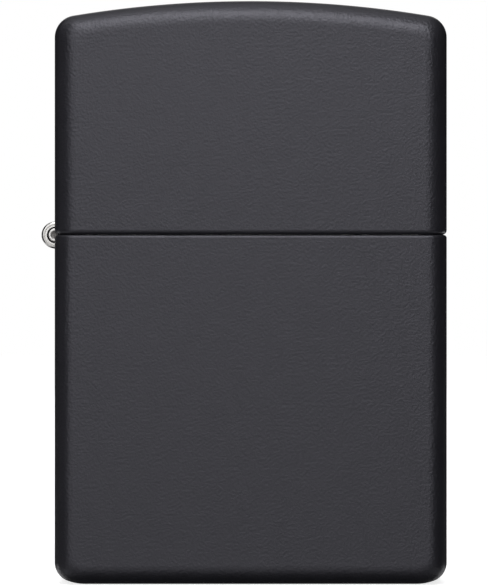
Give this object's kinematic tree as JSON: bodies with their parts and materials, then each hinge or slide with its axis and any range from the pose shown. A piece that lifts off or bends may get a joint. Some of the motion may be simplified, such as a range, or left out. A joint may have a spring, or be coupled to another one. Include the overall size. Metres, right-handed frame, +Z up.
{
  "type": "flip-top windproof lighter",
  "caption": "Flip-top petrol pocket lighter: matt black metal case with a hinged lid over a removable insert with wick, windscreen, striking wheel and snap cam.",
  "frame": {"origin": "middle of the base, on the flat rim that the lighter stands on", "axes": "+Z up, front face towards -Y, hinge on the -X side, striking wheel on the +X side"},
  "size_m": [0.0391, 0.013, 0.0562],
  "materials": {
    "case_black": "matte black powder coat",
    "hinge_nickel": "polished nickel plate",
    "insert_steel": "satin nickel-plated steel",
    "wheel_steel": "hardened, cut teeth",
    "rivet_steel": "polished",
    "cam_steel": "tumbled",
    "spring_steel": "polished spring strip and wire",
    "brass": "plain",
    "flint_alloy": "dull grey",
    "cotton": "cotton",
    "felt": "pressed felt"
  },
  "bodies": {
    "case": {"case_bottom": "case_black", "hinge_leaf_bottom": "hinge_nickel", "hinge_pin": "hinge_nickel", "insert_tank": "insert_steel", "chimney": "insert_steel", "wheel_rivet": "rivet_steel", "cam_rivet": "rivet_steel", "cam_spring": "spring_steel", "cam_spring_rivet": "rivet_steel", "flint_tube": "brass", "flint_spring": "spring_steel", "flint_screw": "brass", "wick": "cotton", "felt_pad": "felt", "packing_ball_1": "cotton", "packing_ball_2": "cotton", "packing_ball_3": "cotton", "packing_ball_4": "cotton", "packing_ball_5": "cotton", "packing_ball_6": "cotton"},
    "lid": {"case_lid": "case_black", "hinge_leaf_lid": "hinge_nickel"},
    "cam": {"cam": "cam_steel"},
    "wheel": {"flint_wheel": "wheel_steel"},
    "flint": {"flint": "flint_alloy", "spring_tip": "brass"}
  },
  "joints": [
    {"name": "lid_hinge", "type": "hinge", "parent": "case", "child": "lid", "pos_m": [-0.0189, 0, 0.03365], "axis": [0, -1, 0], "range_deg": [0, 125]},
    {"name": "cam_pivot", "type": "hinge", "parent": "case", "child": "cam", "pos_m": [-0.0123, 0, 0.0394], "axis": [0, -1, 0], "range_deg": [0, 87.5], "deforming": ["cam_spring"]},
    {"name": "flint_wheel_spin", "type": "hinge", "parent": "case", "child": "wheel", "pos_m": [0.0092, 0, 0.045], "axis": [0, 1, 0], "continuous": true},
    {"name": "flint_slide", "type": "slide", "parent": "case", "child": "flint", "axis": [0, 0, 1], "range_m": [-0.003, 0], "stiffness_N_per_m": 180, "springref_m": 0.006, "deforming": ["flint_spring"]}
  ],
  "couplings": [
    {"joint": "cam_pivot", "follows": "lid_hinge", "ratio": 0.696}
  ]
}
